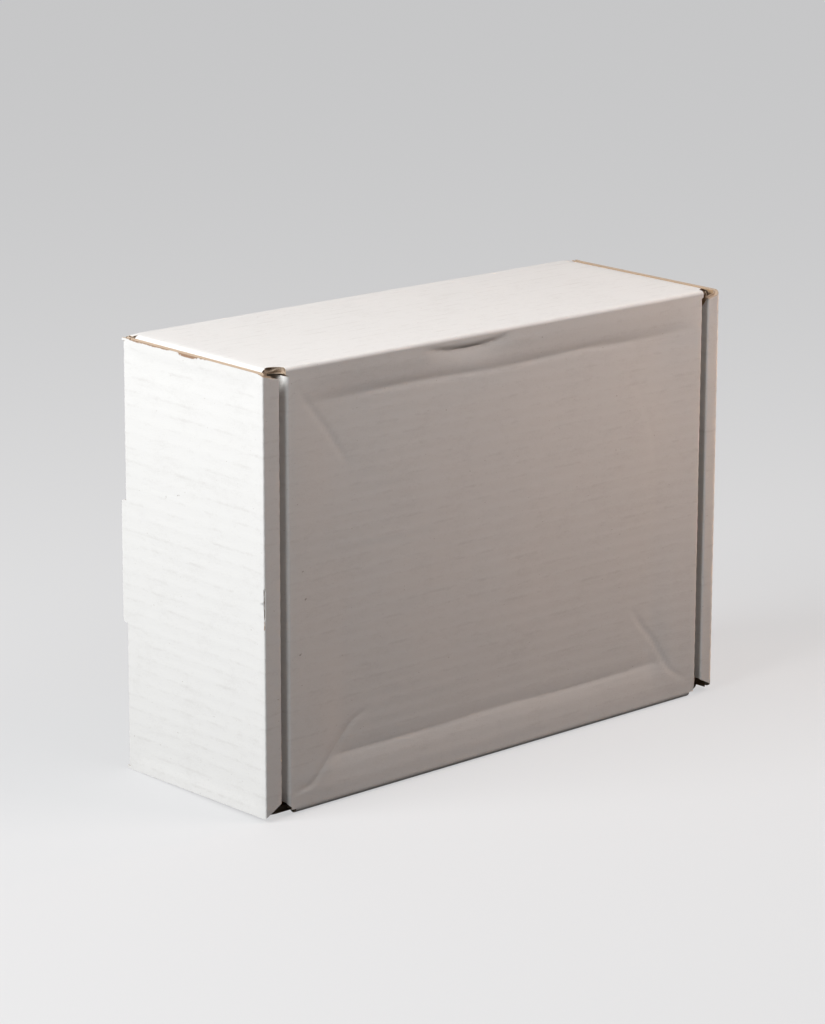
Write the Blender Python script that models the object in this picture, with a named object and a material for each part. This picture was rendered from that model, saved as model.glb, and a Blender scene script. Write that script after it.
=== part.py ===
"""Corrugated mailer box: one die-cut sheet of white-lined B-flute board, folded up and shut.

The box stands on its front panel. X runs along its long side, the lid faces -Y, the base faces +Y
and the panel that carries the lid's crease is on top. Metres, +Z up, origin under the middle.

The sheet is built as it is folded: each panel is laid out flat in its own frame, and each crease
rolls that frame round to the next panel. The outside skin is the white liner, the inside skin is
brown. The sheet is parted at one place only, the crease that the lid swings on.
"""
from math import asin, cos, pi, radians, sin, tan

import bmesh
import bpy
from mathutils import Matrix, Vector

MM = 0.001

# The shut box, outside to outside
LENGTH = 289.0 * MM
DEPTH = 100.0 * MM
HEIGHT = 205.0 * MM

# The board and its creases; a fold's radius is that of the white outside skin
BOARD = 3.0 * MM
INSIDE_RADIUS = 0.3 * MM
BASE_FOLD = 2.4 * MM
END_FOLD = 2.0 * MM
DUST_FOLD = 2.4 * MM
LID_FOLD = 1.8 * MM
FLAP_FOLD = 3.3 * MM
RIM_INNER_FOLD = 3.3 * MM
RIM_OUTER_FOLD = {-1: 1.2 * MM, 1: 3.3 * MM}
FIT = 0.3 * MM

# End walls: outer panel, rolled rim and inner panel, with the dust flaps held between
EDGE_INSET = 0.4 * MM
RIM_CHAMFER_LOW = 6.4 * MM
RIM_CHAMFER_HIGH = 4.3 * MM
SLOT_LENGTH = 58.0 * MM
SLOT_CENTRE = 99.6 * MM
LIP = 1.8 * MM
LIP_CORNER = 2.0 * MM
TAB_PLAY = 0.6 * MM
TAB_CORNER = 2.0 * MM

# Dust flaps on the front and back panels
DUST_FLAP = 58.0 * MM
DUST_TAPER = 3.0 * MM
DUST_CORNER = 12.0 * MM
DUST_END_GAP = 2.5 * MM
CORNER_NOTCH_WIDTH = 7.8 * MM
CORNER_NOTCH_DEPTH = 5.7 * MM
FRONT_SETBACK = 0.7 * MM
FRONT_CORNER_CUT = 5.0 * MM

# Lid, its ears and its tuck flap
LID_GAP = 2.0 * MM
EAR_DEPTH = 38.0 * MM
EAR_CORNER = 24.0 * MM
EAR_HEEL = 6.0 * MM
EAR_TOP_INSET = 5.5 * MM
EAR_FOOT = 9.0 * MM
TUCK_DEPTH = 45.0 * MM
TUCK_CORNER = 18.0 * MM
TUCK_TAPER = 6.0 * MM
TUCK_END_INSET = 8.9 * MM
TUCK_SLIT = 0.8 * MM
LID_TOE = 1.5 * MM
SWING_LEAN = radians(0.7)
HINGE_PLAY = 0.1 * MM

# Handling marks: the lid is sunk between two long creases, with short ones to three corners
SUNK = 1.1 * MM
SUNK_TOP_BAND = 16.0 * MM
SUNK_FOOT_BAND = 15.0 * MM
SUNK_SIDE_BAND = 32.0 * MM
CREASE_HALF_WIDTH = 1.5 * MM
CREASE_DEPTH = 0.45 * MM
LONG_CREASE_INSET = 36.0 * MM
TOP_CREASE_BOW = 1.2 * MM
FOOT_CREASE_BOW = 0.8 * MM
# Each short crease: its corner's side in x and z, its two ends as distances from that corner, its bow
CORNER_CREASES = {
    "top_left_crease": ((-1, 1), (9.0 * MM, 10.0 * MM), (37.0 * MM, 46.0 * MM), 2.0 * MM),
    "foot_left_crease": ((-1, -1), (9.0 * MM, 3.0 * MM), (44.0 * MM, 34.0 * MM), -3.0 * MM),
    "foot_right_crease": ((1, -1), (10.0 * MM, 4.0 * MM), (48.0 * MM, 46.0 * MM), -3.0 * MM),
}
DENT_LENGTH = 44.0 * MM
DENT_FROM_MIDDLE = -27.0 * MM
DENT_BELOW_TOP = 5.2 * MM
DENT_BOW = -2.5 * MM
DENT_ABOVE = 2.6 * MM
DENT_BELOW = 6.0 * MM
DENT_DEPTH = 1.0 * MM

# Colour and roughness of the board's two skins and of its raw edges
WHITE_LINER = ((0.80, 0.79, 0.77), 0.75)
BROWN_LINER = ((0.45, 0.31, 0.19), 0.85)
RAW_EDGE = ((0.52, 0.38, 0.25), 0.9)

# How finely the round parts are built
FOLD_STEPS = 5
CORNER_STEPS = 5
BAND_STEPS = 3
CREASE_STEPS = 6
CREASE_END_SHARE = 0.35
CUTTER_LIFT = 0.5
SMOOTH_BELOW = radians(30)
WELD = 0.001 * MM

# What follows from the sizes above
RIM_WIDTH = 3 * BOARD + 2 * FIT
BASE_FACE = (DEPTH - LIP) / 2
LID_FACE = BASE_FACE - DEPTH
DUST_PLANE = LENGTH / 2 - BOARD - FIT
LID_HALF_WIDTH = LENGTH / 2 - RIM_WIDTH - LID_GAP
LID_CREASE_HALF = DUST_PLANE - DUST_FOLD - CORNER_NOTCH_WIDTH
HINGE_INSET = LID_FOLD * (1 - cos(pi / 4)) - HINGE_PLAY * cos(pi / 4)
HINGE = Vector((0, LID_FACE + HINGE_INSET, HEIGHT - HINGE_INSET))
SLOT_LOW = SLOT_CENTRE - SLOT_LENGTH / 2 - HEIGHT / 2
SLOT_HIGH = SLOT_CENTRE + SLOT_LENGTH / 2 - HEIGHT / 2

OUTSIDE, INSIDE, RAW = 0, 1, 2


def crease_shift(radius, angle):
    """How far the inside skin's crease line lies from the outside skin's, away from the panel."""
    return (radius - BOARD - INSIDE_RADIUS) * tan(angle / 2)


def outline(*corners):
    """Points of a flat outline from (u, v) corners, or (u, v, radius) for a rounded one."""
    points = []
    for i, corner in enumerate(corners):
        here = Vector(corner[:2])
        if len(corner) == 2:
            points.append(here)
            continue
        before = (Vector(corners[i - 1][:2]) - here).normalized()
        after = (Vector(corners[(i + 1) % len(corners)][:2]) - here).normalized()
        half = before.angle(after) / 2
        centre = here + (before + after).normalized() * corner[2] / sin(half)
        first = here + before * corner[2] / tan(half) - centre
        sweep = first.angle_signed(here + after * corner[2] / tan(half) - centre)
        for step in range(CORNER_STEPS + 1):
            turn = Matrix.Rotation(-sweep * step / CORNER_STEPS, 2)
            points.append(centre + turn @ first)
    return points


def same_place(a, b):
    return (Vector(a) - Vector(b)).length < WELD


class Sheet:
    """A sheet of board being folded. Faces are added with their front outward and welded at the end.

    A piece made for the +X end is made again, mirrored, for the -X end by setting side to -1.
    """

    def __init__(self):
        self.mesh = bmesh.new()
        self.side = 1

    def face(self, corners, skin):
        placed = [Vector((p.x * self.side, p.y, p.z)) for p in corners]
        if self.side < 0:
            placed.reverse()
        made = self.mesh.faces.new([self.mesh.verts.new(p) for p in placed])
        made.material_index = skin

    def panel(self, frame, points, folds):
        """A flat panel. folds lists (start, end, radius, angle) of the edges that go on into a bend."""
        outer = [frame @ Vector((p.x, p.y, 0)) for p in points]
        count = len(points)
        shifted = [p.copy() for p in points]
        raw = [True] * count
        for start, end, radius, angle in folds:
            along = (Vector(end) - Vector(start)).normalized()
            away = Vector((along.y, -along.x)) * crease_shift(radius, angle)
            first = next(i for i in range(count) if same_place(points[i], start))
            last = (first + 1) % count
            raw[first] = False
            shifted[first] += away
            shifted[last] += away
        inner = [frame @ Vector((p.x, p.y, -BOARD)) for p in shifted]
        self.face(outer, OUTSIDE)
        self.face(inner[::-1], INSIDE)
        for i in range(count):
            j = (i + 1) % count
            if raw[i]:
                self.face([outer[i], inner[i], inner[j], outer[j]], RAW)

    def bend(self, frame, start, end, radius, angle, insets=(0.0, 0.0)):
        """The rolled board beyond one creased edge; insets shorten its far end. Returns the next frame.

        In the next frame u runs back along the crease, measured from the foot of this frame's
        origin, v leads away from the crease and w is the outside.
        """
        start, end = Vector(start), Vector(end)
        along = (end - start).normalized()
        e = along.to_3d()
        o = Vector((along.y, -along.x, 0))
        rows = []
        for step in range(FOLD_STEPS + 1):
            part = step / FOLD_STEPS
            a = start + along * insets[0] * part
            b = end - along * insets[1] * part
            rows.append(self.fold_row(frame, a, b, o, radius, angle, angle * part, angle * part))
        for near, far in zip(rows, rows[1:]):
            self.strip(near, far)
        foot = (start - along * start.dot(along)).to_3d()
        normal = o * sin(angle) + Vector((0, 0, 1)) * cos(angle)
        ahead = o * cos(angle) - Vector((0, 0, 1)) * sin(angle)
        origin = foot + Vector((0, 0, -radius)) + normal * radius
        turn = Matrix((-e, ahead, normal)).transposed().to_4x4()
        return frame @ Matrix.Translation(origin) @ turn

    def half_bend(self, frame, start, end, radius):
        """Half of a right-angled fold, closed by a mitred face that stands half a gap off the middle."""
        start, end = Vector(start), Vector(end)
        along = (end - start).normalized()
        o = Vector((along.y, -along.x, 0))
        outer_end, inner_end = [
            max(0, pi / 4 - asin(min(1, FIT / 2 / arc))) for arc in (radius, INSIDE_RADIUS)]
        rows = []
        for step in range(FOLD_STEPS + 1):
            part = step / FOLD_STEPS
            turns = (outer_end * part, inner_end * part)
            rows.append(self.fold_row(frame, start, end, o, radius, pi / 2, *turns))
        for near, far in zip(rows, rows[1:]):
            self.strip(near, far)
        outer_a, outer_b, inner_a, inner_b = rows[-1]
        self.face([outer_a, inner_a, inner_b, outer_b], RAW)

    def fold_row(self, frame, a, b, o, radius, angle, outer_turn, inner_turn):
        """The outside and inside points, at both ends, of one line across a bend."""
        up = Vector((0, 0, 1))
        outer = o * sin(outer_turn) + up * cos(outer_turn)
        inner = o * sin(inner_turn) + up * cos(inner_turn)
        outer_centre = -up * radius
        inner_centre = o * crease_shift(radius, angle) - up * (BOARD + INSIDE_RADIUS)
        skin_outer = outer_centre + outer * radius
        skin_inner = inner_centre + inner * INSIDE_RADIUS
        return [frame @ (p.to_3d() + skin) for skin in (skin_outer, skin_inner) for p in (a, b)]

    def strip(self, near, far):
        """One step of a bend: outside, inside and the raw board at its two ends."""
        outer_a, outer_b, inner_a, inner_b = near
        next_outer_a, next_outer_b, next_inner_a, next_inner_b = far
        self.face([outer_b, outer_a, next_outer_a, next_outer_b], OUTSIDE)
        self.face([inner_a, inner_b, next_inner_b, next_inner_a], INSIDE)
        self.face([outer_a, inner_a, next_inner_a, next_outer_a], RAW)
        self.face([outer_b, next_outer_b, next_inner_b, inner_b], RAW)

    def weld(self):
        """Join the faces into one closed body."""
        bmesh.ops.remove_doubles(self.mesh, verts=self.mesh.verts, dist=WELD)

    def finish(self, name, materials, origin):
        """Make the object from the welded sheet, with its own origin at the given place."""
        bmesh.ops.translate(self.mesh, verts=self.mesh.verts, vec=-origin)
        data = bpy.data.meshes.new(name)
        self.mesh.to_mesh(data)
        self.mesh.free()
        for material in materials:
            data.materials.append(material)
        data.shade_smooth()
        data.set_sharp_from_angle(angle=SMOOTH_BELOW)
        made = bpy.data.objects.new(name, data)
        made.location = origin
        bpy.context.collection.objects.link(made)
        return made


def board_material(name, colour, roughness):
    material = bpy.data.materials.new(name)
    material.use_nodes = True
    shader = material.node_tree.nodes["Principled BSDF"]
    shader.inputs["Base Color"].default_value = (*colour, 1)
    shader.inputs["Roughness"].default_value = roughness
    return material


def end_wall(sheet, base_frame, crease_x, crease_half):
    """Outer end panel, rolled rim and inner end panel of the end on sheet.side."""
    rim_fold = RIM_OUTER_FOLD[sheet.side]
    half = HEIGHT / 2 - EDGE_INSET

    # The crease with the base is interrupted by the slot that takes the inner panel's tab
    start, end = (-crease_x, crease_half), (-crease_x, -crease_half)
    frame = sheet.bend(base_frame, start, (-crease_x, SLOT_HIGH), END_FOLD, pi / 2)
    sheet.bend(base_frame, (-crease_x, SLOT_LOW), end, END_FOLD, pi / 2)

    # Outer panel: the lip of the slot and the two corner toes stay straight past the crease
    rim_line = DEPTH - END_FOLD - rim_fold
    toe = crease_half + FIT
    lip = -(END_FOLD + LIP)
    points = outline(
        (-half, -END_FOLD), (-toe, -END_FOLD), (-toe, 0), (-crease_half, 0),
        (SLOT_LOW, 0), (SLOT_LOW, lip, LIP_CORNER), (SLOT_HIGH, lip, LIP_CORNER), (SLOT_HIGH, 0),
        (crease_half, 0), (toe, 0), (toe, -END_FOLD), (half, -END_FOLD),
        (half, rim_line), (-half, rim_line))
    sheet.panel(frame, points, [
        ((-crease_half, 0), (SLOT_LOW, 0), END_FOLD, pi / 2),
        ((SLOT_HIGH, 0), (crease_half, 0), END_FOLD, pi / 2),
        ((half, rim_line), (-half, rim_line), rim_fold, pi / 2)])

    # Rim: its two ends are cut on the slant, a share of the cut on each bend and on the flat
    flat = RIM_WIDTH - rim_fold - RIM_INNER_FOLD
    run = [rim_fold * pi / 2, flat, RIM_INNER_FOLD * pi / 2]
    low = [RIM_CHAMFER_LOW * part / sum(run) for part in run]
    high = [RIM_CHAMFER_HIGH * part / sum(run) for part in run]
    frame = sheet.bend(frame, (half, rim_line), (-half, rim_line), rim_fold, pi / 2, (high[0], low[0]))
    near = [(-half + low[0], 0), (half - high[0], 0)]
    far = [(half - high[0] - high[1], flat), (-half + low[0] + low[1], flat)]
    sheet.panel(frame, outline(*near, *far), [
        (near[0], near[1], rim_fold, pi / 2), (far[0], far[1], RIM_INNER_FOLD, pi / 2)])
    frame = sheet.bend(frame, far[0], far[1], RIM_INNER_FOLD, pi / 2, (high[2], low[2]))

    # Inner panel: it stands on the base, and its tab goes down through the slot
    foot = DEPTH - RIM_INNER_FOLD - BOARD - FIT
    tab = DEPTH - RIM_INNER_FOLD - FIT
    bottom, top = -half + RIM_CHAMFER_LOW, half - RIM_CHAMFER_HIGH
    tab_low, tab_high = SLOT_LOW + TAB_PLAY, SLOT_HIGH - TAB_PLAY
    points = outline(
        (bottom, 0), (top, 0), (top, foot),
        (tab_high, foot), (tab_high, tab, TAB_CORNER), (tab_low, tab, TAB_CORNER), (tab_low, foot),
        (bottom, foot))
    sheet.panel(frame, points, [((bottom, 0), (top, 0), RIM_INNER_FOLD, pi / 2)])


def dust_flap(sheet, panel_frame, crease_start, crease_end):
    """One dust flap, folded in behind the end panel from the front or the back panel."""
    frame = sheet.bend(panel_frame, crease_start, crease_end, DUST_FOLD, pi / 2)
    along = (Vector(crease_end) - Vector(crease_start)).normalized()
    near, far = sorted(-Vector(p).dot(along) for p in (crease_start, crease_end))
    points = outline(
        (near, 0), (far, 0),
        (far - DUST_TAPER, DUST_FLAP, DUST_CORNER), (near + DUST_TAPER, DUST_FLAP, DUST_CORNER))
    sheet.panel(frame, points, [((near, 0), (far, 0), DUST_FOLD, pi / 2)])


def side_panel(sheet, base_frame, start, end, near_edge, near_folds):
    """Front or back panel. near_edge gives the +u half of its edge by the lid.

    Returns the panel's frame and its crease with the dust flap at the +X end.
    """
    frame = sheet.bend(base_frame, start, end, BASE_FOLD, pi / 2)
    half = abs(start[0])
    dust_line = DUST_PLANE - DUST_FOLD
    dust_start = (dust_line, DUST_END_GAP)
    dust_end = (dust_line, DEPTH - BASE_FOLD - LID_FOLD - CORNER_NOTCH_DEPTH)
    right = [(half, 0), (half, DUST_END_GAP / 2), dust_start, dust_end, *near_edge]
    left = [(-u, v) for u, v in reversed(right)]
    dust_creases = [(dust_start, dust_end), ((-dust_line, dust_end[1]), (-dust_line, dust_start[1]))]
    sheet.panel(frame, outline(*right, *left), [
        ((-half, 0), (half, 0), BASE_FOLD, pi / 2),
        *[(*crease, DUST_FOLD, pi / 2) for crease in dust_creases], *near_folds])
    return frame, max(dust_creases, key=lambda crease: (frame @ Vector(crease[0]).to_3d()).x)


def corner_notch():
    """The round notch that relieves the corner where the lid's crease and a dust flap meet."""
    line = DEPTH - BASE_FOLD - LID_FOLD
    centre = DUST_PLANE - DUST_FOLD
    steps = 2 * CORNER_STEPS
    turns = [pi / 2 * step / steps for step in range(1, steps + 1)]
    return [(centre - CORNER_NOTCH_WIDTH * sin(t), line - CORNER_NOTCH_DEPTH * cos(t)) for t in turns]


def build_tray(materials):
    sheet = Sheet()
    base_frame = Matrix.Translation((0, BASE_FACE, HEIGHT / 2)) @ Matrix((
        (-1, 0, 0, 0), (0, 0, 1, 0), (0, 1, 0, 0), (0, 0, 0, 1)))

    # Base, with a slot at each end between the two runs of its end crease
    flat_top = HEIGHT / 2 - BASE_FOLD
    crease_x = LENGTH / 2 - END_FOLD
    crease_half = flat_top - FIT
    fold_half = DUST_PLANE - FIT / 2
    slot_x = LENGTH / 2 - RIM_WIDTH - FIT
    left = [(-crease_x, crease_half), (-crease_x, SLOT_HIGH), (-slot_x, SLOT_HIGH),
            (-slot_x, SLOT_LOW), (-crease_x, SLOT_LOW), (-crease_x, -crease_half)]
    right = [(-u, v) for u, v in reversed(left)]
    top_crease = [(fold_half, flat_top), (-fold_half, flat_top)]
    bottom_crease = [(-fold_half, -flat_top), (fold_half, -flat_top)]
    sheet.panel(base_frame, outline(*bottom_crease, *right, *top_crease, *left), [
        (bottom_crease[0], bottom_crease[1], BASE_FOLD, pi / 2),
        (right[0], right[1], END_FOLD, pi / 2), (right[4], right[5], END_FOLD, pi / 2),
        (top_crease[0], top_crease[1], BASE_FOLD, pi / 2),
        (left[0], left[1], END_FOLD, pi / 2), (left[4], left[5], END_FOLD, pi / 2)])

    # Back panel, on top: the lid's crease runs between two round corner notches
    lid_line = DEPTH - BASE_FOLD - LID_FOLD
    lid_crease = [(LID_CREASE_HALF, lid_line), (-LID_CREASE_HALF, lid_line)]
    back, back_dust_crease = side_panel(
        sheet, base_frame, *top_crease, corner_notch(), [(*lid_crease, LID_FOLD, pi / 2)])
    sheet.half_bend(back, *lid_crease, LID_FOLD)

    # Front panel, underneath: its edge by the lid is cut, just behind the lid's face
    cut_line = DEPTH - BASE_FOLD - FRONT_SETBACK
    front, front_dust_crease = side_panel(
        sheet, base_frame, *bottom_crease, [(DUST_PLANE - DUST_FOLD - FRONT_CORNER_CUT, cut_line)], [])

    for side in (-1, 1):
        sheet.side = side
        end_wall(sheet, base_frame, crease_x, crease_half)
        dust_flap(sheet, back, *back_dust_crease)
        dust_flap(sheet, front, *front_dust_crease)
    sheet.weld()
    sheet.finish("tray", materials, Vector())


def ear(sheet, lid_frame, crease_start, crease_end):
    """One ear of the lid, folded in beside the inner end panel, with its heel rounded off."""
    frame = sheet.bend(lid_frame, crease_start, crease_end, FLAP_FOLD, pi / 2)
    top, foot = -crease_end[1], -crease_start[1]
    points = outline(
        (top, 0), (foot, 0), (foot, EAR_DEPTH, EAR_HEEL), (top, EAR_DEPTH, EAR_CORNER))
    sheet.panel(frame, points, [((top, 0), (foot, 0), FLAP_FOLD, pi / 2)])


def sunk(x, z):
    """How deep the lid's face lies behind its edges at a place on it."""
    top = HEIGHT - LID_FOLD - z
    foot = z - BOARD - FIT - FLAP_FOLD
    side = LID_HALF_WIDTH - FLAP_FOLD - abs(x)
    shares = [min(1, max(0, part)) for part in (
        top / SUNK_TOP_BAND, foot / SUNK_FOOT_BAND, side / SUNK_SIDE_BAND)]
    down, up, across = shares
    return SUNK * down ** 2 * up ** 2 * across ** 2 * (3 - 2 * across)


def sink_panel(mesh):
    """Cut the lid along the lines where its face bends, then press it in."""
    side = LID_HALF_WIDTH - FLAP_FOLD
    low = BOARD + FIT + FLAP_FOLD
    cuts = []
    for step in range(1, BAND_STEPS + 1):
        part = step / BAND_STEPS
        cuts += [((sign * (side - SUNK_SIDE_BAND * part), 0, 0), (1, 0, 0)) for sign in (-1, 1)]
        cuts.append(((0, 0, HEIGHT - LID_FOLD - SUNK_TOP_BAND * part), (0, 0, 1)))
        cuts.append(((0, 0, low + SUNK_FOOT_BAND * part), (0, 0, 1)))
    for place, normal in cuts:
        parts = mesh.verts[:] + mesh.edges[:] + mesh.faces[:]
        bmesh.ops.bisect_plane(mesh, geom=parts, dist=WELD, plane_co=place, plane_no=normal)
    for vert in mesh.verts:
        if vert.co.y < LID_FACE + BOARD + WELD and abs(vert.co.x) < side:
            vert.co.y += sunk(vert.co.x, vert.co.z)


def pressed_line(name, path, above, below, depth):
    """A cutter for a crease along (x, z) points of the lid; above, below and depth are full in mid-run."""
    mesh = bmesh.new()
    rings = []
    for i, (x, z) in enumerate(path):
        ahead = Vector(path[min(i + 1, len(path) - 1)]) - Vector(path[max(i - 1, 0)])
        ahead.normalize()
        up = Vector((-ahead.y, ahead.x)) if ahead.x > 0 else Vector((ahead.y, -ahead.x))
        size = CREASE_END_SHARE + (1 - CREASE_END_SHARE) * sin(pi * i / (len(path) - 1))
        reach = size * (1 + CUTTER_LIFT)
        face = LID_FACE + sunk(x, z)
        corners = [(up * above * reach, -depth * size * CUTTER_LIFT),
                   (up * -below * reach, -depth * size * CUTTER_LIFT),
                   (Vector((0, 0)), depth * size)]
        rings.append([mesh.verts.new((x + s.x, face + y, z + s.y)) for s, y in corners])
    for near, far in zip(rings, rings[1:]):
        for i in range(3):
            j = (i + 1) % 3
            mesh.faces.new([near[i], near[j], far[j], far[i]])
    mesh.faces.new(rings[0][::-1])
    mesh.faces.new(rings[-1])
    bmesh.ops.recalc_face_normals(mesh, faces=mesh.faces)
    data = bpy.data.meshes.new(name)
    mesh.to_mesh(data)
    mesh.free()
    cutter = bpy.data.objects.new(name, data)
    cutter.hide_render = True
    cutter.display_type = "WIRE"
    bpy.context.collection.objects.link(cutter)
    return cutter


def handling_marks():
    """The lid's creases and the dent on its top edge, each as (name, path, above, below, depth)."""
    top = HEIGHT - LID_FOLD
    foot = BOARD + FIT + FLAP_FOLD

    def bowed(start, end, bow):
        """Points from start to end, pushed up or down in the middle."""
        line = []
        for step in range(CREASE_STEPS + 1):
            part = step / CREASE_STEPS
            x, z = Vector(start).lerp(Vector(end), part)
            line.append((x, z + bow * sin(pi * part)))
        return line

    crease_end = LID_HALF_WIDTH - LONG_CREASE_INSET
    top_line = top - SUNK_TOP_BAND
    foot_line = foot + SUNK_FOOT_BAND
    paths = {
        "top_crease": bowed((-crease_end, top_line), (crease_end, top_line), TOP_CREASE_BOW),
        "foot_crease": bowed((-crease_end, foot_line), (crease_end, foot_line), FOOT_CREASE_BOW)}
    for name, (corner, start, end, bow) in CORNER_CREASES.items():
        x, z = corner[0] * LID_HALF_WIDTH, top if corner[1] > 0 else foot
        ends = [(x - corner[0] * across, z - corner[1] * up) for across, up in (start, end)]
        paths[name] = bowed(*sorted(ends), bow)
    section = (CREASE_HALF_WIDTH, CREASE_HALF_WIDTH, CREASE_DEPTH)
    marks = [(name, path, *section) for name, path in paths.items()]

    dent_z = HEIGHT - DENT_BELOW_TOP
    dent_ends = [(DENT_FROM_MIDDLE + part * DENT_LENGTH, dent_z) for part in (-0.5, 0.5)]
    marks.append(("top_edge_dent", bowed(*dent_ends, DENT_BOW), DENT_ABOVE, DENT_BELOW, DENT_DEPTH))
    return marks


def build_lid(materials):
    sheet = Sheet()
    lid_frame = Matrix.Translation((0, LID_FACE, HEIGHT / 2)) @ Matrix((
        (1, 0, 0, 0), (0, 0, -1, 0), (0, 1, 0, 0), (0, 0, 0, 1)))
    ear_line = LID_HALF_WIDTH - FLAP_FOLD
    hinge_line = HEIGHT / 2 - LID_FOLD
    tuck_line = -HEIGHT / 2 + BOARD + FIT + FLAP_FOLD
    tuck_half = LID_HALF_WIDTH - TUCK_END_INSET
    ear_foot = (ear_line, EAR_FOOT - HEIGHT / 2)
    ear_top = (ear_line, HEIGHT / 2 - EAR_TOP_INSET)
    right = [(tuck_half, tuck_line), (tuck_half + TUCK_SLIT, tuck_line),
             (tuck_half + TUCK_SLIT, tuck_line - LID_TOE), (ear_line, tuck_line - LID_TOE),
             ear_foot, ear_top, (LID_CREASE_HALF, hinge_line - LID_TOE), (LID_CREASE_HALF, hinge_line)]
    left = [(-u, v) for u, v in reversed(right)]

    # The tuck flap leans in, so that it clears the front panel when the lid swings out
    reach = HEIGHT - BOARD
    lean = asin((TUCK_DEPTH / 2 + FLAP_FOLD) / reach) + SWING_LEAN
    tuck_angle = pi / 2 + lean
    sheet.panel(lid_frame, outline(*right, *left), [
        (left[-1], right[0], FLAP_FOLD, tuck_angle),
        (ear_foot, ear_top, FLAP_FOLD, pi / 2),
        (left[2], left[3], FLAP_FOLD, pi / 2),
        (right[-1], left[0], LID_FOLD, pi / 2)])
    sheet.half_bend(lid_frame, right[-1], left[0], LID_FOLD)
    frame = sheet.bend(lid_frame, left[-1], right[0], FLAP_FOLD, tuck_angle)
    points = outline(
        (-tuck_half, 0), (tuck_half, 0),
        (tuck_half - TUCK_TAPER, TUCK_DEPTH, TUCK_CORNER),
        (-tuck_half + TUCK_TAPER, TUCK_DEPTH, TUCK_CORNER))
    sheet.panel(frame, points, [((-tuck_half, 0), (tuck_half, 0), FLAP_FOLD, tuck_angle)])
    for side in (-1, 1):
        sheet.side = side
        ear(sheet, lid_frame, ear_foot, ear_top)
    sheet.weld()
    sink_panel(sheet.mesh)
    lid = sheet.finish("lid", materials, HINGE)
    for name, *mark in handling_marks():
        cut = lid.modifiers.new(name, "BOOLEAN")
        cut.operation = "DIFFERENCE"
        cut.object = pressed_line(name + "_cutter", *mark)


def build():
    for old in list(bpy.data.objects):
        bpy.data.objects.remove(old)
    materials = [
        board_material("white_liner", *WHITE_LINER), board_material("brown_liner", *BROWN_LINER),
        board_material("raw_edge", *RAW_EDGE)]
    build_tray(materials)
    build_lid(materials)


build()
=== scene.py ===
"""Corrugated mailer box, shut and standing on its front panel: one die-cut, white-lined sheet.

The board is folded up from its flat outline. Every point keeps its place on the unfolded sheet, so
flutes, fibres and print-through run on across the folds, and each cut edge shows both liners with
the fluted paper between them.
"""

from math import asin, atan2, ceil, cos, floor, pi, radians, sin, sqrt, tan

import bmesh
import bpy
import numpy as np
from mathutils import Matrix, Vector


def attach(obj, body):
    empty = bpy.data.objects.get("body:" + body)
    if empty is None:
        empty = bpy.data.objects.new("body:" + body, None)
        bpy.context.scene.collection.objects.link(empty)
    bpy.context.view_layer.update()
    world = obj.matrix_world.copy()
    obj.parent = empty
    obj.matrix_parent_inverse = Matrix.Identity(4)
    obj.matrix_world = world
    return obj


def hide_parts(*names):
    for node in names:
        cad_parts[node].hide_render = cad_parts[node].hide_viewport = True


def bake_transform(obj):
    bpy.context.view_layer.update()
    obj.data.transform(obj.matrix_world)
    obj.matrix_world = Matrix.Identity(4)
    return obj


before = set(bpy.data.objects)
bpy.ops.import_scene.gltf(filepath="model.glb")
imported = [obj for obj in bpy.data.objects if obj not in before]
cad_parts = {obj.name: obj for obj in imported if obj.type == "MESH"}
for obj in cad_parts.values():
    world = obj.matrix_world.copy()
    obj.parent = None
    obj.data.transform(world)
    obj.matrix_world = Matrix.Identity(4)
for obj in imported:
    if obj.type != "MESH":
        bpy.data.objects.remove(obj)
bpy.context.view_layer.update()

# ---- Tray: base, front and back panels, and at each end an outer panel that rolls over into a rim
# and an inner panel. It is B-flute board, white liner out and brown liner in, cut and creased by a
# die. Two dust flaps are held inside each end, and a tab goes down through a slot in the base.
MM = 0.001
LENGTH, DEPTH, HEIGHT = 289.0 * MM, 100.0 * MM, 205.0 * MM
BOARD, INSIDE_RADIUS, FIT = 3.0 * MM, 0.3 * MM, 0.3 * MM
BASE_FOLD, END_FOLD, DUST_FOLD, LID_FOLD = 2.4 * MM, 2.0 * MM, 2.4 * MM, 1.8 * MM
RIM_INNER_FOLD = 1.0 * MM
RIM_OUTER_FOLD = {-1: 0.7 * MM, 1: 4.0 * MM}
EDGE_INSET_LOW, EDGE_INSET_HIGH = 1.0 * MM, 1.3 * MM
RIM_CHAMFER_LOW, RIM_CHAMFER_HIGH = 6.4 * MM, 2.7 * MM
SLOT_LENGTH, SLOT_CENTRE = 58.0 * MM, 99.6 * MM
LIP, LIP_CORNER = 1.8 * MM, 2.0 * MM
TAB_PLAY, TAB_CORNER = 0.6 * MM, 2.0 * MM
DUST_FLAP, DUST_TAPER, DUST_CORNER, DUST_END_GAP = 58.0 * MM, 3.0 * MM, 12.0 * MM, 2.5 * MM
NOTCH_WIDTH, NOTCH_DEPTH, NOTCH_START = 7.4 * MM, 2.0 * MM, 5.2 * MM
FRONT_SETBACK, FRONT_CORNER_CUT, FRONT_CORNER_DROP = 7.0 * MM, 5.0 * MM, 1.5 * MM
INNER_DROP, INNER_SLOPE = 6.0 * MM, 4.0 * MM
RIM_WIDTH = 3 * BOARD + 2 * FIT
BASE_FACE = (DEPTH - LIP) / 2
LID_FACE = BASE_FACE - DEPTH
DUST_PLANE = LENGTH / 2 - BOARD - FIT
SLOT_LOW = SLOT_CENTRE - SLOT_LENGTH / 2 - HEIGHT / 2
SLOT_HIGH = SLOT_CENTRE + SLOT_LENGTH / 2 - HEIGHT / 2
RIGHT_ANGLE = pi / 2

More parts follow.
